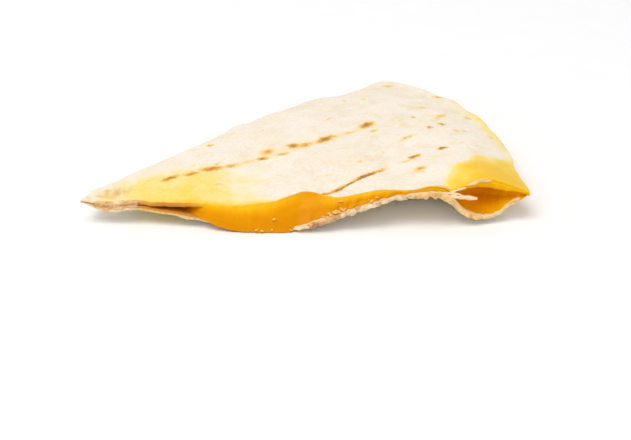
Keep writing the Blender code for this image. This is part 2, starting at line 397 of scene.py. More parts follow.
# %% Unfolded places and relief of the outer face
unfolded_angle = np.where(side > 0.0, angle, 2.0 * FOLD_ANGLE - angle)
flat_x = radius * np.cos(unfolded_angle)
flat_y = radius * np.sin(unfolded_angle)
flat_z = middle[..., 2] - middle[:, [fold_row], 2]
swell = 0.30 * waves(36.0, 11, flat_x, flat_y) + 0.14 * waves(15.0, 12, flat_x, flat_y)
blister = 0.16 * np.maximum(waves(9.0, 13, flat_x, flat_y, flat_z), 0.0) ** 2
floury = 0.04 * waves(3.2, 14, flat_x, flat_y, flat_z)
CREASE_X, CREASE_Y, CREASE_TURN, CREASE_HALF = 80.0, 6.2, np.radians(34.5), 15.0
away_x, away_y = flat_x - CREASE_X, flat_y - CREASE_Y
crease_along = away_x * np.cos(CREASE_TURN) + away_y * np.sin(CREASE_TURN)
crease_off = away_y * np.cos(CREASE_TURN) - away_x * np.sin(CREASE_TURN)
ridge = 0.45 * np.exp(-(((crease_off + 1.7) / 1.3) ** 2))
groove = 0.4 * np.exp(-((crease_off / 0.6) ** 2))
crease = bump(crease_along, 0.0, CREASE_HALF) * (side > 0.0) * (ridge - groove)
relief = (swell + blister + floury + crease) * fullness
print("relief from", round(float(relief.min()), 2), "to", round(float(relief.max()), 2), "mm")


# %% [markdown]
# The faces are set off from the mid-surface along its normals, which are the cross product of the
# grid's two directions.

# %% Both faces of the tortilla
def grid_normals(points):
    """Unit normals of a grid of points: the cross product of its steps along either parameter."""
    down = np.gradient(points, axis=1)
    over = np.gradient(points, axis=0)
    normal = np.cross(down, over)
    return normal / np.maximum(np.linalg.norm(normal, axis=-1, keepdims=True), 1e-9)


normals = grid_normals(middle)
outer_face = middle + normals * (half_thick + relief)[..., None]
inner_face = middle - normals * half_thick[..., None]
outer_face[..., 2] = np.maximum(outer_face[..., 2], 0.0)

count = outer_face[..., 0].size
outer_index = np.arange(count).reshape(fullness.shape)
inner_index = outer_index.copy()
inside = np.zeros(fullness.shape, bool)
inside[1:-1, 1:-1] = True
inner_index[inside] = count + np.arange(inside.sum())
print("points:", count + int(inside.sum()))


# %% [markdown]
# Melted cheese gives off oil, which soaks into the thin upper layer: faintly by the tip, strongly at
# the corner by the rim, and as a thin line along the cut. Heat browns the pinched tip, the rim and the
# fold. Both are worked out as levels at the points, and the material turns them into colour.

# %% Where oil and heat have been
def spot(x, y, middle_x, middle_y, half_long, half_wide, turn):
    """1 in the middle of an ellipse on the flat sheet, falling as (1 - s^2)^2 to 0 at its outline."""
    cosine, sine = np.cos(np.radians(turn)), np.sin(np.radians(turn))
    long_way = ((x - middle_x) * cosine + (y - middle_y) * sine) / half_long
    wide_way = ((y - middle_y) * cosine - (x - middle_x) * sine) / half_wide
    return (1.0 - np.clip(long_way**2 + wide_way**2, 0.0, 1.0)) ** 2


def patches(length, seed, more=0.0):
    """Uneven patches of the flat sheet: the waves plus a level, cut off below 0 and above 1."""
    return np.clip(waves(length, seed, flat_x, flat_y) + more, 0.0, 1.0)


upper_share = np.clip(side, 0.0, 1.0)
lower_share = np.clip(-side, 0.0, 1.0)
uneven_x = flat_x + 1.6 * waves(9.0, 24, flat_x, flat_y)
uneven_y = flat_y + 1.6 * waves(9.0, 25, flat_x, flat_y)
oil = 0.62 * spot(flat_x, flat_y, 29.0, 4.0, 46.0, 27.0, 15.0)
oil = oil + 1.2 * spot(uneven_x, uneven_y, 120.0, 5.0, 29.0, 19.5, 62.0)
rim_stretch = smooth_step(angle, 0.1, 0.3) * (1.0 - smooth_step(angle, 0.45, 0.65))
oil = oil + 0.5 * bump(from_rim, 0.0, 8.0) * rim_stretch
oil = oil + 0.9 * np.exp(-from_cut / 1.5) * bump(radius, 46.0, 30.0)
oil = oil + 0.55 * np.exp(-from_cut / 0.5) * smooth_step(radius, 70.0, 90.0)
oil = np.clip(oil * upper_share + 0.5 * lower_share * patches(30.0, 21, 0.1), 0.0, 1.4)

tip_toast = 0.4 * spot(flat_x, flat_y, 9.0, 1.0, 12.0, 4.0, 8.0)
tip_toast = tip_toast + 0.7 * spot(flat_x, flat_y, 12.5, 4.0, 8.0, 3.4, 15.0)
toast = tip_toast * (0.8 + 0.35 * waves(2.4, 26, flat_x, flat_y))
toast = toast + 1.1 * np.exp(-((from_cut / 0.3) ** 2)) * bump(radius, 27.0, 15.0) * upper_share
toast = toast + 0.45 * bump(from_rim, 0.0, 3.0) * patches(14.0, 22)
toast = toast + 0.3 * lower_share * patches(18.0, 23, -0.1)
fold_patches = np.clip(waves(13.0, 27, flat_x, flat_y, flat_z) + 0.1, 0.0, 1.0)
toast = toast + 0.5 * bump(side, -0.2, 0.9) * fold_patches
print("oil up to", round(float(oil.max()), 2), "and toast up to", round(float(toast.max()), 2))


# %% [markdown]
# The points carry these levels as attributes, with their place on the flat sheet. "zones" packs three
# more: which layer, how full the thickness is (the cut faces are where it is not), and how far behind
# the cut. "inner" is 1 on the face towards the cheese, up to the closed tip.

# %% Attributes of the sheet
def on_both(outer_values, inner_values):
    """Values for all points: the outer face's grid, then the inner face's inner points."""
    groups = (outer_values.reshape(count, -1), inner_values[inside].reshape(inside.sum(), -1))
    return np.concatenate(groups).squeeze()


flat_place = np.stack([flat_x, flat_y, flat_z], axis=-1)
shown_crumb = np.maximum(fullness, 1.0 - smooth_step(radius, 6.0, 10.0))
zones = np.stack([side, shown_crumb, from_cut], axis=-1)
facing_in = 0.5 * (1.0 + fullness) * smooth_step(radius, 11.0, 17.0)
tortilla_attributes = {
    "flat": on_both(flat_place, flat_place),
    "zones": on_both(zones, zones),
    "inner": on_both(0.5 * (1.0 - fullness), facing_in),
    "oil": on_both(oil, oil),
    # On the inner face the toast level is 0.9 up to 36 mm from the apex and gone by 44 mm: toasting together
    # with painted shade in the slot by the tip.
    "toast": on_both(toast, 0.9 * (1.0 - smooth_step(radius, 36.0, 44.0))),
}
print("attributes:", sorted(tortilla_attributes))

# %% [markdown]
# ## Toasted flour tortilla
# A pressed disc of wheat dough, baked on a hot plate: pale cream, matt and floury, with thin brown
# scorches where it touched the bars and yellow where the cheese's oil has soaked in. The bars left
# rows of dashes, because only the high spots of the dough touched them. Each mark below gives its
# middle on the flat sheet, half its length, half its width, its turn and its depth of scorching.
# Long faint ones lie under the rows and link them. All of them are measured through one wobbled set
# of coordinates, so none has a clean outline.

# %% Scorch marks
BAR_MARKS = [
    (27.0, 10.9, 2.3, 0.85, 34, 1.05), (30.2, 12.4, 1.4, 0.4, 29, 0.4), (33.0, 13.6, 2.2, 0.9, 21, 0.9),
    (38.8, 17.1, 3.0, 1.1, 20, 0.95), (40.2, 20.2, 1.0, 0.5, 60, 0.6), (44.4, 19.4, 2.6, 0.8, 20, 0.65),
    (49.3, 21.5, 2.2, 0.5, 19, 0.5), (53.4, 23.3, 1.5, 0.8, 15, 1.0), (54.9, 27.0, 1.9, 1.4, 27, 0.7),
    (59.0, 25.2, 1.9, 0.7, 15, 0.6), (62.5, 30.5, 1.5, 1.4, 42, 1.0), (66.0, 31.0, 2.1, 1.3, 42, 0.75),
    (71.8, 34.9, 2.8, 1.2, 49, 1.1), (75.0, 36.7, 1.3, 0.8, 14, 0.5), (79.6, 39.9, 2.0, 0.6, 47, 0.5),
    (84.6, 45.7, 2.3, 1.2, 55, 1.1), (86.7, 41.1, 1.1, 0.8, 39, 0.6), (41.0, 17.9, 13.0, 1.2, 22, 0.34),
    (65.5, 31.0, 9.0, 1.7, 32, 0.32), (78.5, 39.4, 6.0, 1.3, 36, 0.3), (31.0, 12.9, 6.0, 1.0, 26, 0.3),
]
CREASE_MARKS = [
    (72.0, 0.5, 2.3, 0.6, 31, 1.0), (76.2, 3.2, 2.3, 0.7, 35, 1.45), (79.3, 5.5, 1.9, 0.6, 41, 1.35),
    (83.5, 9.1, 3.3, 0.7, 39, 1.4), (87.6, 12.3, 1.9, 0.5, 40, 0.8), (95.3, 17.7, 1.6, 0.5, 35, 0.5),
    (97.9, 20.3, 1.4, 0.75, 38, 1.15), (99.3, 11.4, 1.5, 1.2, 32, 0.7), (96.3, 34.4, 2.4, 0.7, 43, 0.6),
    (106.2, 24.6, 1.2, 0.7, 40, 1.25),
]
FLECKS = [
    (98.7, 51.5, 0.7, 0.8, 28, 0.65), (107.2, 53.3, 3.9, 1.0, 62, 0.5), (107.0, 45.1, 1.0, 0.7, -11, 1.15),
    (103.4, 41.6, 0.8, 0.8, 33, 0.85), (95.5, 45.6, 0.8, 1.3, -24, 0.35), (102.3, 63.1, 2.1, 1.3, 38, 0.4),
    (108.0, 76.2, 1.6, 0.9, -30, 0.7), (92.2, 85.6, 1.6, 1.0, 7, 0.55), (83.9, 70.5, 0.7, 0.8, 18, 0.4),
    (78.1, 69.4, 0.8, 0.9, 0, 0.35), (72.8, 51.6, 1.4, 0.5, 60, 0.45), (82.1, 18.6, 1.0, 0.6, 39, 0.45),
    (85.4, 19.4, 1.0, 0.6, 34, 0.4), (72.6, 10.5, 1.6, 0.5, 8, 0.3), (40.9, 8.3, 2.0, 0.6, 16, 0.45),
    (20.9, 9.3, 0.9, 0.7, 41, 0.4), (33.4, 19.3, 0.6, 0.6, 35, 0.4), (37.8, 33.8, 0.8, 0.8, 10, 0.7),
    (111.1, 40.1, 1.0, 1.1, -21, 0.45), (113.6, 41.3, 0.9, 0.7, -57, 0.5), (115.6, 56.0, 0.9, 1.1, -3, 0.5),
    (121.5, 40.8, 1.5, 0.5, -76, 0.5), (112.1, 29.9, 0.8, 0.6, 28, 0.4),
]


def mirrored(marks, push):
    """Marks for the lower layer: the upper ones unfolded about the fold's line and pushed along it."""
    result = []
    for x, y, half_long, half_wide, turn, depth in marks:
        far, way = np.hypot(x, y) + push, 2.0 * FOLD_ANGLE - np.arctan2(y, x)
        place = far * np.cos(way), far * np.sin(way)
        result.append((*place, 1.25 * half_long, 1.3 * half_wide, 96 - turn, depth))
    return result


marks = BAR_MARKS + CREASE_MARKS + FLECKS + mirrored(BAR_MARKS, 9.0) + mirrored(CREASE_MARKS, -14.0)
print(len(marks), "scorch marks")


# %% Scorching
MARK_REACH = 2.0
MARK_PEAK = 1.5
WOBBLE = 3.0


def scorch_depth(tree, place):
    """The deepest of all marks at a place. Each is a spherical gradient, squeezed to the mark's own
    ellipse: MARK_PEAK times its depth in the middle, 0 at MARK_REACH times its half sizes."""
    deepest = 0.0
    for x, y, half_long, half_wide, turn, depth in marks:
        fading = add_node(tree, "TexGradient", [place], "Fac", gradient_type="SPHERICAL")
        ellipse = fading.node.texture_mapping
        ellipse.vector_type = "TEXTURE"
        ellipse.translation = (x, y, 0.0)
        ellipse.rotation = (0.0, 0.0, np.radians(turn))
        ellipse.scale = (MARK_REACH * half_long, MARK_REACH * half_wide, 1.0)
        here = add_node(tree, "Math", [fading, MARK_PEAK * depth], **TIMES)
        deepest = add_node(tree, "Math", [here, deepest], operation="MAXIMUM")
    return deepest


def scorched(tree, base, flat, fine, inner):
    """The colour with the marks on it, from a golden halo to a brown core, and the halo's strength. The
    place is shifted by a noise of up to WOBBLE / 2 either way, and is at height 0."""
    noise = add_node(tree, "TexNoise", [flat, 1.0 / 1.9, 4.0, 0.65], "Color")
    half = -0.5 * WOBBLE
    place = add_node(tree, "VectorMath", [flat, (1.0, 1.0, 0.0), (half, half, 0.0)], operation="MULTIPLY_ADD")
    place = add_node(tree, "VectorMath", [noise, (WOBBLE, WOBBLE, 0.0), place], operation="MULTIPLY_ADD")
    depth = add_node(tree, "Math", [fine, 0.5, scorch_depth(tree, place)], operation="MULTIPLY_ADD")
    halo = add_node(tree, "MapRange", [depth, 0.22, 0.87], **SMOOTH)
    core = add_node(tree, "MapRange", [depth, 0.52, 1.82], **SMOOTH)
    browning = [(0.0, "#f7d88c"), (0.25, "#efb954"), (0.5, "#dd9a26"), (0.75, "#c9840e"), (1.0, "#a86c08")]
    brown = add_node(tree, "ValToRGB", [core], stops=browning)
    outside = add_node(tree, "Math", [inner, -0.9, 0.9], operation="MULTIPLY_ADD")
    shown = add_node(tree, "Math", [halo, outside], **TIMES)
    return add_node(tree, "Mix", [shown, base, brown], **COLOURS), halo


print("marks reach", MARK_REACH, "times their half sizes")


# %% Dough, oil and cut faces
def dough_colour(tree, flat, middling, fine):
    """Cream in wide clouds, then layers of darker and paler spots. Each layer's share is a smooth step
    of its grain between two levels, times its strength."""
    wide = add_node(tree, "TexNoise", [flat, 1.0 / 24.0, 2.0, 0.55])
    specks = add_node(tree, "TexNoise", [flat, 1.0 / 2.3, 3.0, 0.6])
    base = add_node(tree, "ValToRGB", [wide], stops=[(0.32, "#f8eddc"), (0.5, "#f3e7d5"), (0.68, "#f6e8cd")])
    for grain, low, high, strength, colour in (
        (middling, 0.46, 0.7, 0.5, "#efd9b2"),
        (middling, 0.46, 0.32, 0.5, "#f9ebe1"),
        (fine, 0.5, 0.66, 0.45, "#fdf6eb"),
        (fine, 0.46, 0.34, 0.35, "#ebd6b2"),
        (specks, 0.6, 0.72, 0.45, "#e8d0a4"),
    ):
        share = add_node(tree, "MapRange", [grain, low, high, 0.0, strength], **SMOOTH)
        base = add_node(tree, "Mix", [share, base, colour], **COLOURS)
    return base


def oiled(tree, base, oil, middling, fine):
    """The colour where oil has soaked in, and how oily it is: the level made uneven by both grains."""
    uneven = unevened(tree, unevened(tree, oil, middling, 0.75), fine, 0.3)
    soaked = add_node(tree, "MapRange", [uneven, -0.05, 1.15], **SMOOTH)
    oily = add_node(tree, "Math", [soaked, add_node(tree, "MapRange", [oil, -0.05, 0.55], **SMOOTH)], **TIMES)
    yellows = [(0.0, "#f8edc8"), (0.35, "#f8e39a"), (0.7, "#f9d65c"), (1.0, "#f7c42c")]
    yellow = add_node(tree, "ValToRGB", [oily], stops=yellows)
    shown = add_node(tree, "MapRange", [oily, 0.0, 0.45], **SMOOTH)
    return add_node(tree, "Mix", [shown, base, yellow], **COLOURS), oily


def cut_face_colour(tree, fine, oil, toast):
    """The open crumb of a cut face: tan to pale by the fine grain, yellow with oil, brown where toasted."""
    crumb = add_node(tree, "ValToRGB", [fine], stops=[(0.3, "#e3b56b"), (0.5, "#f0d29c"), (0.7, "#f6e2bb")])
    for level, strength, colour in ((oil, 0.85, "#f9bc1c"), (toast, 0.9, "#d38d37")):
        share = add_node(tree, "Math", [level, strength], use_clamp=True, **TIMES)
        crumb = add_node(tree, "Mix", [share, crumb, colour], **COLOURS)
    return crumb


def inner_face_colour(tree, middling, toast, layer, from_cut):
    """The face towards the cheese: soaked and ochre, but bare and pale near the cut of the lower layer, and
    brown in the slot by the tip, where the colour holds toasting and painted shade together."""
    soaked = add_node(tree, "ValToRGB", [middling], stops=[(0.35, "#e9a528"), (0.6, "#dd9014")])
    near_cut = add_node(tree, "MapRange", [from_cut, 2.6, 0.9], **SMOOTH)
    lower = add_node(tree, "MapRange", [layer, 0.1, -0.1], **SMOOTH)
    bare = add_node(tree, "Math", [near_cut, lower], **TIMES)
    soaked = add_node(tree, "Mix", [bare, soaked, "#f2d59c"], **COLOURS)
    # Brown by the toast level: toasting, and painted shade in the open slot by the tip.
    return add_node(tree, "Mix", [toast, soaked, "#cd821c"], **COLOURS)


# %% The tortilla's material
ATTRIBUTES = ["flat", "zones", "oil", "toast", "inner"]


def tortilla_material():
    """Toasted flour tortilla. Baked dough is matt with a little light passing through it, so it has a
    high roughness, the IOR of starch, and slight subsurface scattering; oiled spots are smoother."""
    material, tree, shader = new_material("toasted_flour_tortilla")
    flat, zones, oil, toast, inner = (
        add_node(tree, "Attribute", (), output, attribute_name=name)
        for name, output in zip(ATTRIBUTES, ["Vector", "Vector", "Fac", "Fac", "Fac"])
    )
    layer, full, from_cut = add_node(tree, "SeparateXYZ", [zones]).node.outputs
    middling = add_node(tree, "TexNoise", [flat, 1.0 / 6.0, 4.0, 0.6])
    fine = add_node(tree, "TexNoise", [flat, 1.0 / 0.9, 4.0, 0.6])
    base = dough_colour(tree, flat, middling, fine)
    base, oily = oiled(tree, base, oil, middling, fine)
    base, halo = scorched(tree, base, flat, fine, inner)
    uneven_toast = add_node(tree, "Math", [fine, toast], operation="ADD")
    baked = add_node(tree, "MapRange", [uneven_toast, 0.45, 1.1], **SMOOTH)
    baked = add_node(tree, "Math", [toast, baked], **TIMES)
    base = add_node(tree, "Mix", [baked, base, "#e2b065"], **COLOURS)
    cut_face = add_node(tree, "MapRange", [full, 0.995, 0.8], **SMOOTH)
    base = add_node(tree, "Mix", [cut_face, base, cut_face_colour(tree, fine, oil, toast)], **COLOURS)
    inner_face = add_node(tree, "MapRange", [inner, 0.5, 0.8], **SMOOTH)
    lining_colour = inner_face_colour(tree, middling, toast, layer, from_cut)
    pores = add_node(tree, "TexVoronoi", [flat, 1.0 / 1.3])
    grain = fine
    for height, strength in (
        (add_node(tree, "MapRange", [pores, 0.0, 0.3], **SMOOTH), 0.35), (middling, 0.8), (halo, -0.5)
    ):
        grain = add_node(tree, "Math", [height, strength, grain], operation="MULTIPLY_ADD")
    set_inputs(tree, shader, {
        "Base Color": add_node(tree, "Mix", [inner_face, base, lining_colour], **COLOURS),
        "Roughness": add_node(tree, "MapRange", [oily, 0.2, 1.0, 0.68, 0.38], **SMOOTH),
        "IOR": 1.45,
        "Specular IOR Level": 0.12,
        "Subsurface Weight": 0.12,
        "Subsurface Radius": (1.0, 0.62, 0.32),
        "Subsurface Scale": 1.6 * MM,
        "Normal": add_node(tree, "Bump", {"Height": grain, "Distance": 0.22 * MM, "Strength": 0.55}),
    })
    return material


tortilla = make_piece(
    "tortilla_sheet",
    on_both(outer_face, inner_face),
    [quads(outer_index), quads(inner_index)[:, ::-1]],
    "tortilla",
    tortilla_material(),
    tortilla_attributes,
)

# %% [markdown]
# ## Melted cheese
# The filling is grated cheddar melted into one soft mass. It clings to both layers, so its skin is
# the sheet's inner face from one cut edge round the fold to the other, set a little into the sheet so
# that no gap shows, and closed by a free nose across the open side. The nose swells out and sags over
# the lower layer in the front, lies back in a slot near the tip, and is hollow in the spoon near the
# rim. It rises level with the upper layer where that layer has a bite torn out.

# %% Where the cheese clings
CLING = 0.12
CHEESE_FROM, CHEESE_TO = 21.0, 126.0
CLING_ROWS = 34
NOSE_ROWS = 64
TUCK_ROWS = 10
END_ROWS = 8
CHEESE_AT = np.array([21, 30, 34, 37, 41, 46, 54, 62, 66, 77, 90, 104, 110, 119, 125], float)
LIP_OUT = np.array([-7.0, -4.0, -1.0, 0.4, 1.7, 2.1, 1.7, 0.8, -0.2, -0.3, -0.2, -0.6, -2.0, -0.7, 0.3])
LIP_DROP = np.array([0.0, 0.0, 0.0, 0.0, 0.7, 1.0, 0.65, 0.9, 0.5, 0.0, 0.0, 0.0, 0.0, 0.0, 0.0])
BULGE = np.array([-0.8, -0.8, -0.3, 0.3, 0.8, 1.0, 1.2, 1.5, 1.6, 0.8, 0.3, 0.1, 0.0, 0.0, 0.0])

edge_radius = radius[:, 0]
cheese_columns = (edge_radius > CHEESE_FROM) & (edge_radius < CHEESE_TO)
lining = (middle - normals * np.maximum(half_thick - CLING, 0.0)[..., None])[cheese_columns]
depth_behind = from_cut[cheese_columns]
cheese_radius = edge_radius[cheese_columns]


def row_at(depth, step):
    """The row, with its fraction, where each column is this deep behind the cut edge, on the upper
    layer for a step of 1 and on the lower one for -1."""
    away = depth_behind[:, fold_row::step]
    before = np.clip((away > depth[:, None]).sum(axis=1) - 1, 0, away.shape[1] - 2)
    column = np.arange(len(away))
    start, end = away[column, before], away[column, before + 1]
    return fold_row + step * (before + (start - depth) / (start - end))


def at_rows(grid, rows):
    """Points of each column at rows with fractions, halfway values between neighbours being mixed."""
    low = np.clip(np.floor(rows).astype(int), 0, grid.shape[1] - 2)
    share = (rows - low)[..., None]
    before, after = (np.take_along_axis(grid, low[..., None] + step, axis=1) for step in (0, 1))
    return before * (1.0 - share) + after * share


print("cheese columns:", int(cheese_columns.sum()))


# %% The cheese's sections
def cheese_sections():
    """Closed sections, one for each column: along the lower layer to the fold, along the upper layer
    back to the mouth, down the nose and tucked in below. Down the nose, the way out from the cut is
    a straight line plus a sine bulge minus a flat-bottomed hollow, and the height is a straight line
    plus an early hump. The hump stands before the upper layer's cut face, so it shows as a band."""
    r = cheese_radius[:, None]
    lip_out = along(cheese_radius, LIP_OUT, CHEESE_AT)
    upper_start = row_at(0.3 + 6.2 * (1.0 - smooth_step(cheese_radius, 27.0, 37.5)), 1)
    lower_start = row_at(np.maximum(-lip_out, 0.0) + 2.2, -1)
    ragged = 0.55 * waves(1.8, 32, cheese_radius) * smooth_step(cheese_radius, 108.0, 112.0)
    lip_row = row_at(np.maximum(ragged - lip_out, 0.15), -1)
    way = np.linspace(0.0, 1.0, CLING_ROWS, endpoint=False)[None, :]
    lower = at_rows(lining, lower_start[:, None] + (fold_row - lower_start[:, None]) * way**0.8)
    upper = at_rows(lining, fold_row + (upper_start[:, None] - fold_row) * (1.0 - (1.0 - way) ** 1.25))
    start = at_rows(lining, upper_start[:, None])
    lip = at_rows(lining, lip_row[:, None])
    lip[..., 1] -= np.maximum(lip_out[:, None], 0.0)
    lip[..., 2] = np.maximum(lip[..., 2] - along(r, LIP_DROP, CHEESE_AT), 0.25)
    t = np.linspace(0.0, 1.0, NOSE_ROWS)[None, :]
    nose = start + (lip - start) * t[..., None]
    in_notch = np.clip(1.0 - ((r - NOTCH_AT) / (NOTCH_HALF + 0.5)) ** 2, 0.0, 1.0)
    awning = smooth_step(r, 107.0, 111.0)
    lower_wall = 0.45 * smooth_step(r, 74.0, 90.0) * (1.0 - awning)
    wall = along(r, UPPER_EDGE_THICK) * smooth_step(r, 34.5, 38.0) * (1.0 - lower_wall)
    hump = np.maximum(1.15 * in_notch, wall + 0.12) * (1.0 - smooth_step(r, 92.0, 100.0) + 1.05 * awning)
    hump = hump * smooth_step(r, 33.0, 36.0)
    bulge = along(r, BULGE, CHEESE_AT) * np.sin(np.pi * t**0.8)
    hollow = 6.0 * bump(r, 117.0, 12.5) * smooth_step(t, 0.24, 0.46) * (1.0 - smooth_step(t, 0.6, 1.0))
    groove = 0.2 * np.exp(-(((t - 0.33) / 0.06) ** 2)) * bump(r, 63.5, 7.5)
    bulge = bulge + 0.75 * awning * smooth_step(t, 0.0, 0.03) * (1.0 - smooth_step(t, 0.1, 0.3))
    rolls = 0.16 * waves(4.0, 31, 0.4 * r, 8.0 * t) * np.sin(np.pi * t)
    nose[..., 1] -= bulge - hollow - groove + rolls
    nose[..., 2] += hump * smooth_step(t, 0.0, 0.05) * (1.0 - smooth_step(t, 0.12, 0.6))
    back = at_rows(lining, lower_start[:, None])
    s = np.linspace(0.0, 1.0, TUCK_ROWS + 1, endpoint=False)[None, 1:]
    tuck = nose[:, -1:] + (back - nose[:, -1:]) * s[..., None]
    tuck[..., 2] -= 0.45 * np.sin(np.pi * s) ** 0.5 * (lip_out[:, None] > 0.0)
    sections = np.concatenate([lower, upper, nose, tuck], axis=1)
    sections[..., 2] = np.maximum(sections[..., 2], 0.08)
    return sections


sections = cheese_sections()
cheese_size = np.ptp(sections.reshape(-1, 3), axis=0)
print("section of", sections.shape[1], "points, cheese", np.round(cheese_size, 1), "mm")


# %% [markdown]
# Both ends close like a pillow: a section's two halves draw together on the line midway between
# them while the section moves on along the wedge, so that the end is round. The halves' points share
# that last line.

# %% Pillow ends
def pillow_end(last, neighbour, reach):
    """Sections that close an end. Each is the mid-line plus cos(a) of the way from it to the last
    section, moved by reach times sin(a) in the direction that the sections were going. The reach is
    a length, or one for each point."""
    facing = last[partner_of(last.shape[0], CLING_ROWS)]
    mid = 0.5 * (last + facing)
    going = last - neighbour
    going = going / np.maximum(np.linalg.norm(going, axis=-1, keepdims=True), 1e-9)
    going = np.mean(going, axis=0) * np.ones_like(last)
    angle = np.linspace(0.0, 0.5 * np.pi, END_ROWS + 1)[1:, None, None]
    return mid + (last - mid) * np.cos(angle) + going * reach * np.sin(angle)


tip_end = pillow_end(sections[0], sections[1], 0.8)[::-1]
rim_reach = 1.7 + 1.3 * waves(15.0, 33, sections[-1, :, 1]) + 0.5 * waves(5.0, 34, sections[-1, :, 1])
rim_end = pillow_end(sections[-1], sections[-2], np.maximum(rim_reach, 0.3)[:, None])
cheese_grid = np.concatenate([tip_end, sections, rim_end])
print("cheese grid:", cheese_grid.shape)


# %% Warmth of the cheese's colour
WARMEST = 1.3


def cheese_warmth():
    """0 where the cheese is thin or catches the light, and yellow, to WARMEST where it is thick and in
    shade, and brown. Down the nose it climbs by a smooth step, with more of it below the bite, in the
    spoon and in the slot near the tip."""
    r = cheese_radius[:, None]
    t = np.linspace(0.0, 1.0, NOSE_ROWS)[None, :]
    nose = 0.1 + 0.5 * smooth_step(t, 0.1, 0.5)
    spoon = smooth_step(r, 107.0, 111.0)
    in_spoon = 0.6 * smooth_step(t, 0.2, 0.36) * (1.0 - 0.9 * smooth_step(r, 114.0, 125.0))
    nose = nose * (1.0 - spoon) + (0.08 + in_spoon) * spoon
    in_bite = bump(r, NOTCH_AT, NOTCH_HALF + 1.0) ** 0.5
    crest = bump(r, 66.0, 6.0) * (1.0 - smooth_step(t, 0.1, 0.4))
    nose = nose + 0.08 * in_bite + 0.4 * crest + 0.07
    nose = nose + (1.05 - nose) * (1.0 - smooth_step(r, 32.0, 38.0))
    clinging = np.full((len(cheese_radius), 2 * CLING_ROWS), 0.35)
    tucked = np.full((len(cheese_radius), TUCK_ROWS), 0.8)
    whole = np.concatenate([clinging, nose, tucked], axis=1)
    first, last = whole[:1].repeat(END_ROWS, axis=0), whole[-1:].repeat(END_ROWS, axis=0)
    return np.clip(np.concatenate([first, whole, last]), 0.0, WARMEST)


warmth_levels = cheese_warmth().ravel()
print("warmth from", round(float(warmth_levels.min()), 2), "to", round(float(warmth_levels.max()), 2))


# %% The cheese's material
def cheese_material():
    """Melted cheddar. It is a fatty gel, so light goes in a few millimetres and comes out yellow
    where it is thin, and its wet, smooth skin mirrors softly. Oil has the IOR 1.46."""
    material, tree, shader = new_material("melted_cheddar")
    place = add_node(tree, "TexCoord", (), "Object")
    warmth = add_node(tree, "Attribute", (), "Fac", attribute_name="warmth")
    clouds = add_node(tree, "TexNoise", [place, 1.0 / (5.0 * MM), 3.0, 0.55])
    warm = add_node(tree, "Math", [unevened(tree, warmth, clouds, 0.35), WARMEST], operation="DIVIDE")
    ambers = ["#fec404", "#f7b002", "#ec9f00", "#e39100", "#d98300", "#9c560a"]
    amber = add_node(tree, "ValToRGB", [warm], stops=list(zip([0.0, 0.2, 0.4, 0.6, 0.78, 1.0], ambers)))
    skin = add_node(tree, "TexNoise", [place, 1.0 / (1.6 * MM), 3.0, 0.55])
    set_inputs(tree, shader, {
        "Base Color": amber,
        "Roughness": 0.34,
        "IOR": 1.46,
        "Specular IOR Level": 0.07,
        "Subsurface Weight": 0.3,
        "Subsurface Radius": (1.0, 0.5, 0.12),
        "Subsurface Scale": 2.0 * MM,
        "Normal": add_node(tree, "Bump", {"Height": skin, "Distance": 0.12 * MM, "Strength": 0.4}),
    })
    return material


cheese_points, cheese_faces = zipped(cheese_grid, CLING_ROWS)
cheese = make_piece(
    "cheese_filling",
    cheese_points,
    [cheese_faces],
    "cheese",
    cheese_material(),
    {"warmth": warmth_levels},
)

# %% [markdown]
# ## Torn edges
# Where a knife drags, a toasted tortilla doesn't part cleanly. It tears into thin plies that curl and
# crumble. Each ply is a flat tube carried along the torn edge: its reach outwards and its thickness
# wander, and waves in space roughen its skin. The plies overlap like roof tiles, and small chips stick
# out between them.

# %% Plies along a path
PLY_STEP = 0.26
PLY_SIDES = 22


def resampled(path, step):
    """A path's points at even distances, with those distances."""
    length = np.concatenate([[0.0], np.cumsum(np.linalg.norm(np.diff(path, axis=0), axis=1))])
    even = np.linspace(0.0, length[-1], int(length[-1] / step) + 1)
    return np.stack([np.interp(even, length, path[:, k]) for k in range(3)], axis=-1), even


def ply(path, deep, high, seed, rough=0.17, reach=0.4, taper_length=2.1):
    """A torn ply. Its section is an ellipse, deep outwards and high upwards. Its half sizes follow the
    path as arrays or numbers, taper as a square root to nothing at both ends, and wander: the outward
    one by the share reach. The skin is pushed in and out by up to about rough."""
    line, at = resampled(path, PLY_STEP)
    along_path = np.gradient(line, axis=0)
    along_path /= np.linalg.norm(along_path, axis=1, keepdims=True)
    outwards = np.cross(along_path, [0.0, 0.0, 1.0])
    outwards /= np.linalg.norm(outwards, axis=1, keepdims=True)
    upwards = np.cross(outwards, along_path)
    taper = np.sqrt(np.clip(np.minimum(at, at[-1] - at) / min(0.3 * at[-1], taper_length), 0.0, 1.0))
    spread, height = (
        taper * np.interp(at, np.linspace(0.0, at[-1], np.size(half)), np.atleast_1d(half))
        for half in (deep, high)
    )
    spread = spread * (1.0 + reach * waves(3.4, seed, at) + 0.4 * reach * waves(1.5, seed + 1, at))
    height = height * (1.0 + 0.3 * waves(2.4, seed + 2, at))
    turn = np.linspace(0.0, 2.0 * np.pi, PLY_SIDES, endpoint=False)[None, :, None]
    rings = line[:, None] + outwards[:, None] * spread[:, None, None] * np.cos(turn)
    rings = rings + upwards[:, None] * height[:, None, None] * np.sin(turn)
    x, y, z = np.moveaxis(rings, -1, 0)
    bumpy = waves(1.3, seed + 3, 0.3 * x, y, z) + 0.5 * waves(0.6, seed + 4, 0.5 * x, y, z)
    push = outwards[:, None] * np.cos(turn) + upwards[:, None] * 0.6 * np.sin(turn)
    rings = rings + push * (rough * taper[:, None] * bumpy)[..., None]
    rings[..., 2] = np.maximum(rings[..., 2], 0.06)
    return zipped(rings)


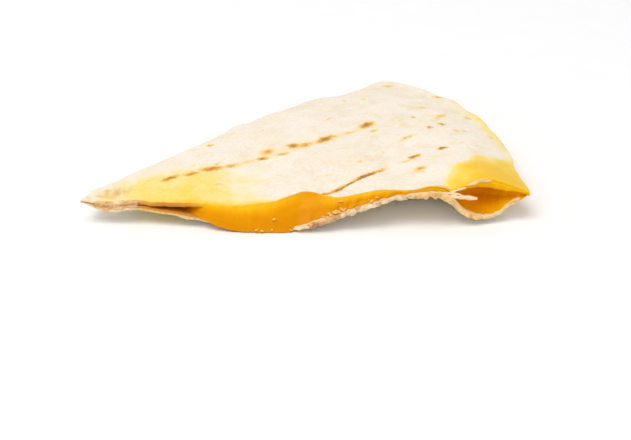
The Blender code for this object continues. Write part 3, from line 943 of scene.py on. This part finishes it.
def joined(parts):
    """Points and faces of several skins in one mesh."""
    starts = np.cumsum([0] + [len(points) for points, _ in parts[:-1]])
    return (
        np.concatenate([points for points, _ in parts]),
        np.concatenate([faces + start for (_, faces), start in zip(parts, starts)]),
    )


# %% Where the edges are torn
def edge_path(row, start, end, out, up):
    """A stretch of the sheet's border row, moved outwards and upwards."""
    there = (edge_radius >= start) & (edge_radius <= end)
    return middle[there, row] + [0.0, -out, up]


def chips(start, end, number, seed):
    """Short plies at random places along the lower border row, each turned and tilted a little. Each
    follows the edge's slope, which is its rise over six columns."""
    draw = np.random.default_rng(seed)
    six_columns = 6.0 * np.mean(np.diff(edge_radius))
    parts = []
    for index in range(number):
        at, length = draw.uniform(start, end), draw.uniform(1.2, 3.4)
        column = int(np.argmin(np.abs(edge_radius - at)))
        up = draw.uniform(-0.7, 0.95) * 0.5 * along(at, LOWER_EDGE_THICK, LOWER_THICK_AT)
        centre = middle[column, 0] + [0.0, -draw.uniform(0.0, 0.6), up]
        heading = np.array([np.cos(CHIP_TURN * up), draw.uniform(-0.25, 0.25), draw.uniform(-0.25, 0.3)])
        heading[2] += (middle[column + 3, 0, 2] - middle[column - 3, 0, 2]) / six_columns
        line = centre + 0.5 * length * np.linspace(-1.0, 1.0, 6)[:, None] * heading
        deep, high = draw.uniform(0.35, 0.8), draw.uniform(0.12, 0.24)
        parts.append(ply(line, deep, high, seed + 7 * index, 0.07, 0.5, 0.6))
    return parts


CHIP_TURN = 0.3
SHINGLES = [
    (62.5, 71.5, 0.1, 0.1, 0.4), (67.0, 77.0, 0.35, 0.15, 0.8), (73.5, 84.0, 0.1, 0.0, 0.75),
    (82.0, 92.5, 0.45, -0.05, 0.6), (90.5, 98.5, 0.2, 0.0, 0.6), (96.5, 108.5, 0.45, 0.1, 0.75),
    (105.0, 117.0, 0.0, 0.0, 0.6),
]
lower_lip = [
    ply(edge_path(0, start, end, out, up), 0.55, high, 41 + 10 * number, 0.1, 0.25, 0.9)
    for number, (start, end, out, up, high) in enumerate(SHINGLES)
] + chips(68.0, 107.0, 18, 161)
upper_lip = [
    ply(edge_path(-1, 109.0, 117.0, 0.5, 0.6), 0.7, [0.3, 0.45, 0.25], 81, 0.08),
    ply(edge_path(-1, 104.0, 109.5, 0.1, -0.1), 0.45, 0.3, 91, 0.15),
]
near_tip = (edge_radius > 5.6) & (edge_radius < 19.0)
below = middle[near_tip, 0][::-1]
above = middle[near_tip, -1][::-1]
tip_path = 0.5 * (below + above)
tip_half = 0.5 * (above[:, 2] - below[:, 2])
tip_band = [
    ply(tip_path + share * tip_half[:, None] * [0.0, 0.0, 1.0], 0.5, 0.5 * tip_half + 0.1, seed, 0.12)
    for share, seed in ((-1.15, 101), (-0.4, 111), (0.35, 121), (1.1, 131))
]
tongue_line = np.linspace([102.5, -0.6, 8.9], [115.0, -1.0, 7.8], 12) + [*APEX, 0.0]
tongue = [
    ply(tongue_line, 0.8, [0.45, 0.6, 0.55], 141, 0.1, 0.3, 0.6),
    ply(tongue_line[:8] + [0.0, 0.3, 0.7], 0.7, 0.25, 151, 0.1),
]
print("plies:", len(lower_lip), "+", len(upper_lip), "+", len(tip_band), "+", len(tongue))

# %% [markdown]
# Loose crumbs of crust stick to the cheese just above the torn lip. A crumb is a short fat ply, so it
# has the same broken skin. Its place is a column and a share of the way down the cheese's nose.

# %% Crumbs
def crumb(at, share, size, seed):
    """A crumb on the cheese's nose, at a distance from the apex and a share of the way down. Its line is
    0.85 of its size to either side of that point, turned by its seed, and set out a little."""
    column = int(np.argmin(np.abs(cheese_radius - at)))
    row = 2 * CLING_ROWS + int(share * (NOSE_ROWS - 1))
    middle_point = sections[column, row]
    turn = 2.4 * seed
    half = 0.85 * size * np.array([np.cos(turn), 0.2, 0.45 * np.sin(turn)])
    ends = np.linspace(middle_point - half, middle_point + half, 5) + [0.0, -0.15, 0.05]
    return ply(ends, 0.6 * size, 0.17 * size, seed, 0.15 * size, 0.5)


CRUMBS = [
    (73.4, 0.8, 1.5), (74.4, 0.66, 1.0), (75.2, 0.82, 1.7), (76.0, 0.68, 1.3), (77.0, 0.82, 1.4),
    (75.2, 0.25, 0.9), (83.4, 0.55, 0.7), (84.4, 0.75, 1.1), (85.8, 0.5, 0.6), (72.0, 0.9, 1.2),
    (52.4, 0.9, 0.9), (54.2, 0.93, 0.8), (56.8, 0.9, 0.8), (56.6, 0.5, 0.9), (62.6, 0.95, 1.0),
]
crumbs = [crumb(at, share, size, 200 + 10 * number) for number, (at, share, size) in enumerate(CRUMBS)]
print(len(crumbs), "crumbs")


# %% The torn crumb's material
def torn_material():
    """The inside of a toasted tortilla, torn open: dry, pale crumb, tan where the edge of a ply has
    browned, oily yellow where it touches cheese. Rough and slightly translucent."""
    material, tree, shader = new_material("torn_tortilla_crumb")
    place = add_node(tree, "TexCoord", (), "Object")
    baked, oily = (add_node(tree, "Attribute", (), "Fac", attribute_name=name) for name in ("baked", "oily"))
    grain = add_node(tree, "TexNoise", [place, 1.0 / (0.9 * MM), 4.0, 0.6])
    spots = add_node(tree, "TexNoise", [place, 1.0 / (3.2 * MM), 3.0, 0.55])
    level = unevened(tree, unevened(tree, baked, grain, 0.7), spots, 1.1)
    tans = [(0.0, "#fcf0dc"), (0.3, "#f3d8b0"), (0.55, "#e3b884"), (0.8, "#c0885a"), (1.0, "#93592c")]
    crumb = add_node(tree, "ValToRGB", [level], stops=tans)
    set_inputs(tree, shader, {
        "Base Color": add_node(tree, "Mix", [oily, crumb, "#f7bd4a"], **COLOURS),
        "Roughness": 0.75,
        "IOR": 1.45,
        "Specular IOR Level": 0.2,
        "Subsurface Weight": 0.15,
        "Subsurface Radius": (1.0, 0.6, 0.3),
        "Subsurface Scale": 0.8 * MM,
        "Normal": add_node(tree, "Bump", {"Height": grain, "Distance": 0.2 * MM, "Strength": 0.5}),
    })
    return material


torn = torn_material()
for name, parts, level, oiliness, rim_oil in (
    ("torn_lower_edge", lower_lip, 0.42, 0.06, 0.3),
    ("torn_upper_edge", upper_lip, 0.2, 0.2, 0.0),
    ("toasted_tip", tip_band, 0.52, 0.1, 0.0),
    ("torn_tongue", tongue, 0.24, 0.35, 0.0),
    ("crust_crumbs", crumbs, 0.4, 0.8, 0.0),
):
    torn_points, torn_faces = joined(parts)
    draw = np.random.default_rng(len(torn_points))
    tones = [np.full(len(points), level + draw.uniform(-0.2, 0.2)) for points, _ in parts]
    near_rim = smooth_step(torn_points[:, 0], APEX[0] + 92.0, APEX[0] + 103.0)
    looks = {"baked": np.concatenate(tones), "oily": oiliness + rim_oil * near_rim}
    make_piece(name, torn_points, [torn_faces], "tortilla", torn, looks)

# %% [markdown]
# ## The stand, the light and the camera
# A plain pale floor, a wide soft light overhead and a white surround give the soft, short shadows
# of a food table by a window. The camera stands well back and looks down at 25 degrees.

# %% Floor
def floor_material():
    """Matt white card, as laid on a studio table: no gloss, and nearly all light sent back."""
    material, tree, shader = new_material("white_card")
    grain = add_node(tree, "TexNoise", [add_node(tree, "TexCoord", (), "Object"), 90.0, 3.0, 0.55])
    whites = add_node(tree, "ValToRGB", [grain], stops=[(0.3, "#fbfbfb"), (0.7, "#fdfdfd")])
    set_inputs(tree, shader, {"Base Color": whites, "Roughness": 0.9, "Specular IOR Level": 0.1})
    return material


def make_floor(half_side=3000.0, steps=4):
    """A square sheet at height 0, as a grid of steps by steps quads."""
    line = np.linspace(-half_side, half_side, steps + 1)
    x, y = np.meshgrid(line, line, indexing="ij")
    points = np.stack([x, y, 0.0 * x], axis=-1).reshape(-1, 3)
    mesh = bpy.data.meshes.new("floor")
    index = np.arange(len(points)).reshape(x.shape)
    mesh.from_pydata((points * MM).tolist(), [], quads(index)[:, ::-1].tolist())
    mesh.materials.append(floor_material())
    floor = bpy.data.objects.new("floor", mesh)
    bpy.context.scene.collection.objects.link(floor)
    return floor


floor = make_floor()
print("floor:", len(floor.data.polygons), "quads")


# %% Lights
def add_area_light(name, place, aim, size, watts):
    """A square soft light at a place in metres, turned to shine at another."""
    light = bpy.data.lights.new(name, "AREA")
    light.size = size
    light.energy = watts
    lamp = bpy.data.objects.new(name, light)
    lamp.location = place
    towards = np.subtract(aim, place)
    lamp.rotation_euler = Vector(towards).to_track_quat("-Z", "Y").to_euler()
    bpy.context.scene.collection.objects.link(lamp)
    return lamp


add_area_light("overhead_softbox", (-0.25, -0.35, 1.1), (0.0, 0.0, 0.0), 0.9, 7.6)
world = bpy.data.worlds.new("white_surround")
world.use_nodes = True
world.node_tree.nodes["Background"].inputs["Color"].default_value = (1.0, 1.0, 1.0, 1.0)
world.node_tree.nodes["Background"].inputs["Strength"].default_value = 0.64
bpy.context.scene.world = world
bpy.context.scene.view_settings.view_transform = "Standard"

# %% Camera
CAMERA_HEIGHT_ANGLE = np.radians(25.0)
CAMERA_AWAY = 600.0
CAMERA_ASIDE = 69.0
CAMERA_UP = 0.6
CAMERA_LENS = 120.0

camera_data = bpy.data.cameras.new("camera")
camera_data.lens = CAMERA_LENS
camera_data.sensor_width = 36.0
camera_data.clip_start = 0.01
camera = bpy.data.objects.new("camera", camera_data)
back = np.array([0.0, -np.cos(CAMERA_HEIGHT_ANGLE), np.sin(CAMERA_HEIGHT_ANGLE)])
upwards = np.array([0.0, np.sin(CAMERA_HEIGHT_ANGLE), np.cos(CAMERA_HEIGHT_ANGLE)])
place = np.array([APEX[0] + CAMERA_ASIDE, APEX[1], 0.0]) + CAMERA_AWAY * back + CAMERA_UP * upwards
camera.location = (place * MM).tolist()
camera.rotation_euler = (0.5 * np.pi - CAMERA_HEIGHT_ANGLE, 0.0, 0.0)
bpy.context.scene.collection.objects.link(camera)
bpy.context.scene.camera = camera
print("camera at", np.round(place), "mm")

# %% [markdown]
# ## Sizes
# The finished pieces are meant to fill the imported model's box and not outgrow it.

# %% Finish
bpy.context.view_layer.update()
